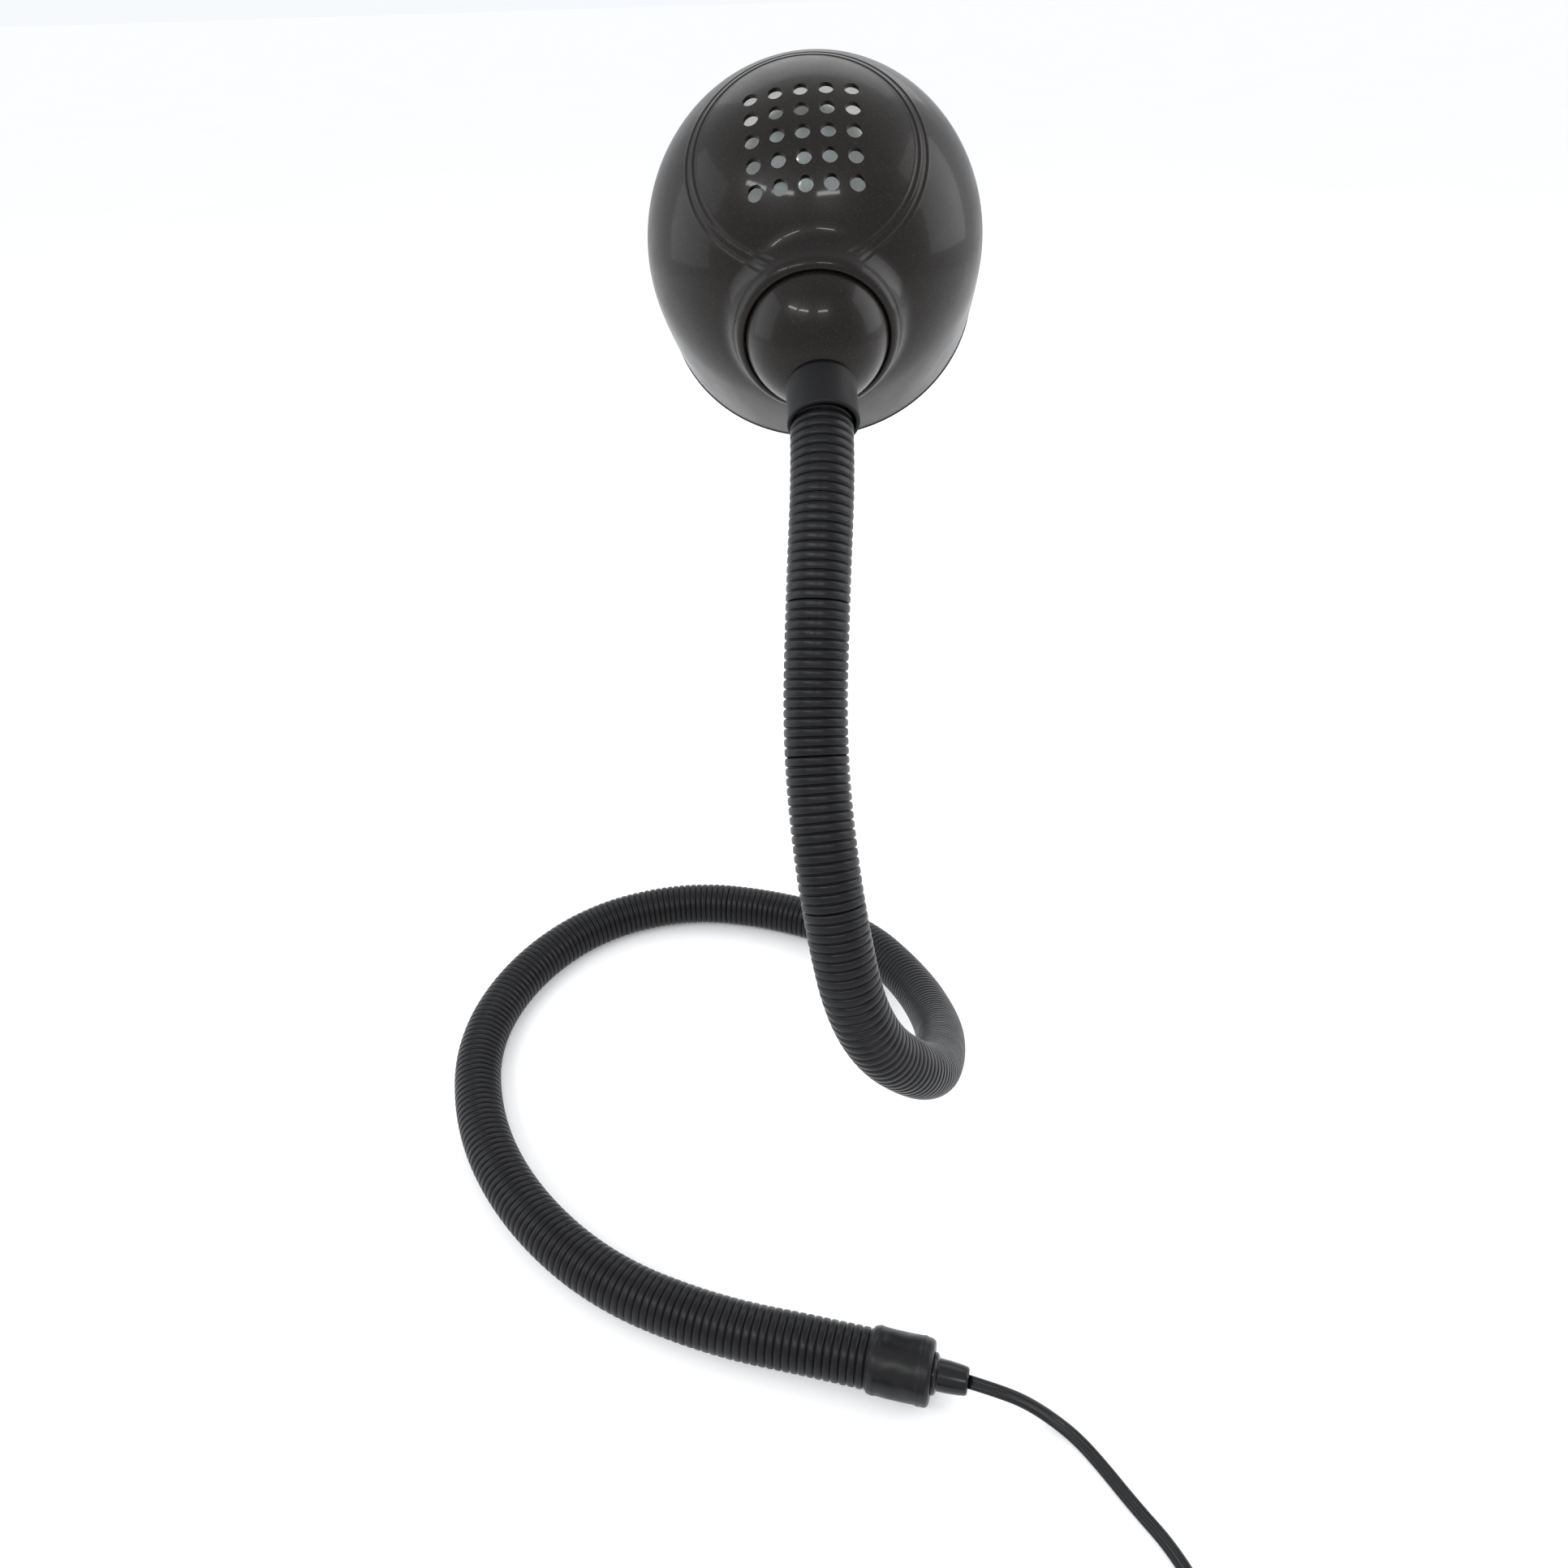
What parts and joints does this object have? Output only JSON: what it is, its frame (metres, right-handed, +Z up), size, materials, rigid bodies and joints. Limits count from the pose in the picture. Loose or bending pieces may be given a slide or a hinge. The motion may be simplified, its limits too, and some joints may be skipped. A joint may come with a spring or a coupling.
{
  "type": "flexible gooseneck table lamp",
  "caption": "Table lamp on one bendable ribbed tube that coils flat as its own base and carries a round vented shade on a ball joint.",
  "frame": {"origin": "on the table top, under the centre of the lamp's outline without its supply cord", "axes": "+Z up; +X to the side where the supply cord leaves; +Y to the side that the head hangs over"},
  "size_m": [0.343, 0.5378, 0.4836],
  "materials": {
    "ribbed_sleeve": "satin black PVC, ribbed",
    "wound_steel": "wound steel wire",
    "soft_vinyl": "soft matte black vinyl",
    "gland_plastic": "glossy black moulded plastic",
    "cord_pvc": "satin black PVC",
    "switch_plastic": "black moulded plastic",
    "plug_pvc": "black moulded PVC",
    "plated_brass": "nickel-plated brass",
    "zinc_steel": "zinc-plated steel",
    "phenolic": "black phenolic",
    "holder_ceramic": "white ceramic",
    "brass": "pressed brass",
    "cap_aluminium": "rolled aluminium lamp cap",
    "opal_glass": "opal white",
    "shade_plastic": "gloss graphite with fine metallic fleck",
    "inner_plastic": "black moulded plastic"
  },
  "bodies": {
    "base_end": {"sleeve_base_end": "ribbed_sleeve", "steel_hose_base_end": "wound_steel", "inner_lead_base_end": "cord_pvc", "end_cap": "soft_vinyl", "cord_gland": "gland_plastic", "supply_cord": "cord_pvc", "cord_coil": "cord_pvc", "switch_base": "switch_plastic", "switch_cover": "switch_plastic", "plug_body": "plug_pvc", "plug_pins": "plated_brass"},
    "base_side": {"sleeve_base_side": "ribbed_sleeve", "steel_hose_base_side": "wound_steel", "inner_lead_base_side": "cord_pvc"},
    "base_back": {"sleeve_base_back": "ribbed_sleeve", "steel_hose_base_back": "wound_steel", "inner_lead_base_back": "cord_pvc"},
    "neck_1": {"sleeve_neck_1": "ribbed_sleeve", "steel_hose_neck_1": "wound_steel", "inner_lead_neck_1": "cord_pvc"},
    "neck_2": {"sleeve_neck_2": "ribbed_sleeve", "steel_hose_neck_2": "wound_steel", "inner_lead_neck_2": "cord_pvc"},
    "neck_3": {"sleeve_neck_3": "ribbed_sleeve", "steel_hose_neck_3": "wound_steel", "inner_lead_neck_3": "cord_pvc"},
    "neck_4": {"sleeve_neck_4": "ribbed_sleeve", "steel_hose_neck_4": "wound_steel", "inner_lead_neck_4": "cord_pvc"},
    "neck_5": {"sleeve_neck_5": "ribbed_sleeve", "steel_hose_neck_5": "wound_steel", "inner_lead_neck_5": "cord_pvc"},
    "neck_6": {"sleeve_neck_6": "ribbed_sleeve", "steel_hose_neck_6": "wound_steel", "inner_lead_neck_6": "cord_pvc"},
    "neck_7": {"sleeve_neck_7": "ribbed_sleeve", "steel_hose_neck_7": "wound_steel", "inner_lead_neck_7": "cord_pvc"},
    "neck_8": {"sleeve_neck_8": "ribbed_sleeve", "steel_hose_neck_8": "wound_steel", "inner_lead_neck_8": "cord_pvc"},
    "neck_9": {"sleeve_neck_9": "ribbed_sleeve", "steel_hose_neck_9": "wound_steel", "inner_lead_neck_9": "cord_pvc", "neck_collar": "soft_vinyl", "nipple": "zinc_steel", "hub_washer": "zinc_steel", "lock_nut": "zinc_steel", "lamp_holder_cap": "phenolic", "lamp_holder_skirt": "phenolic", "lamp_holder_insert": "holder_ceramic", "lamp_holder_screw_shell": "brass", "lamp_holder_contact": "brass", "bulb_cap": "cap_aluminium", "bulb_glass": "opal_glass"},
    "ball": {"swivel_ball": "shade_plastic"},
    "shade": {"shade_shell": "shade_plastic", "shade_socket": "shade_plastic", "retaining_ring": "inner_plastic"},
    "rocker": {"switch_rocker": "switch_plastic"}
  },
  "joints": [
    {"name": "loop_bend_1", "type": "hinge", "parent": "base_end", "child": "base_side", "pos_m": [-0.069, -0.107, 0.0125], "axis": [0, 0, 1], "range_deg": [-10, 10]},
    {"name": "loop_bend_2", "type": "hinge", "parent": "base_side", "child": "base_back", "pos_m": [-0.097, 0.1, 0.0125], "axis": [0, 0, 1], "range_deg": [-10, 10]},
    {"name": "neck_bend_1", "type": "hinge", "parent": "base_back", "child": "neck_1", "pos_m": [0.105, 0.076, 0.018], "axis": [0.8805, 0.4741, 0], "range_deg": [-15, 15]},
    {"name": "neck_sway_2", "type": "hinge", "parent": "neck_1", "child": "neck_2", "pos_m": [0.123, 0.0235, 0.032], "axis": [-0.0522, 0.3457, 0.9369], "range_deg": [-15, 15]},
    {"name": "neck_bend_3", "type": "hinge", "parent": "neck_2", "child": "neck_3", "pos_m": [0.1235, -0.0275, 0.058], "axis": [0.9899, -0.1414, 0], "range_deg": [-15, 15]},
    {"name": "neck_sway_4", "type": "hinge", "parent": "neck_3", "child": "neck_4", "pos_m": [0.113, -0.0745, 0.0925], "axis": [0.1834, 0.5896, 0.7866], "range_deg": [-15, 15]},
    {"name": "neck_bend_5", "type": "hinge", "parent": "neck_4", "child": "neck_5", "pos_m": [0.0905, -0.107, 0.1355], "axis": [0.5421, -0.8403, 0], "range_deg": [-15, 15]},
    {"name": "neck_sway_6", "type": "hinge", "parent": "neck_5", "child": "neck_6", "pos_m": [0.0695, -0.1085, 0.1875], "axis": [0.5098, -0.7879, 0.3455], "range_deg": [-15, 15]},
    {"name": "neck_bend_7", "type": "hinge", "parent": "neck_6", "child": "neck_7", "pos_m": [0.0615, -0.0825, 0.2385], "axis": [0.9899, 0.1414, 0], "range_deg": [-15, 15]},
    {"name": "neck_sway_8", "type": "hinge", "parent": "neck_7", "child": "neck_8", "pos_m": [0.0605, -0.0495, 0.287], "axis": [-0.0818, -0.8449, 0.5287], "range_deg": [-15, 15]},
    {"name": "neck_bend_9", "type": "hinge", "parent": "neck_8", "child": "neck_9", "pos_m": [0.0645, -0.0165, 0.3355], "axis": [0.9899, -0.1414, 0], "range_deg": [-15, 15]},
    {"name": "head_swivel", "type": "hinge", "parent": "neck_9", "child": "ball", "pos_m": [0.066, 0.049, 0.391], "axis": [-0.0173, 0.8319, 0.5546], "range_deg": [-160, 160]},
    {"name": "shade_tilt", "type": "hinge", "parent": "ball", "child": "shade", "pos_m": [0.066, 0.049, 0.391], "axis": [0.9962, -0.0484, 0.0725], "range_deg": [-6, 38]},
    {"name": "switch_rock", "type": "hinge", "parent": "base_end", "child": "rocker", "pos_m": [0.125, -0.3335, 0.014], "axis": [0, 1, 0], "range_deg": [-16, 0]}
  ]
}
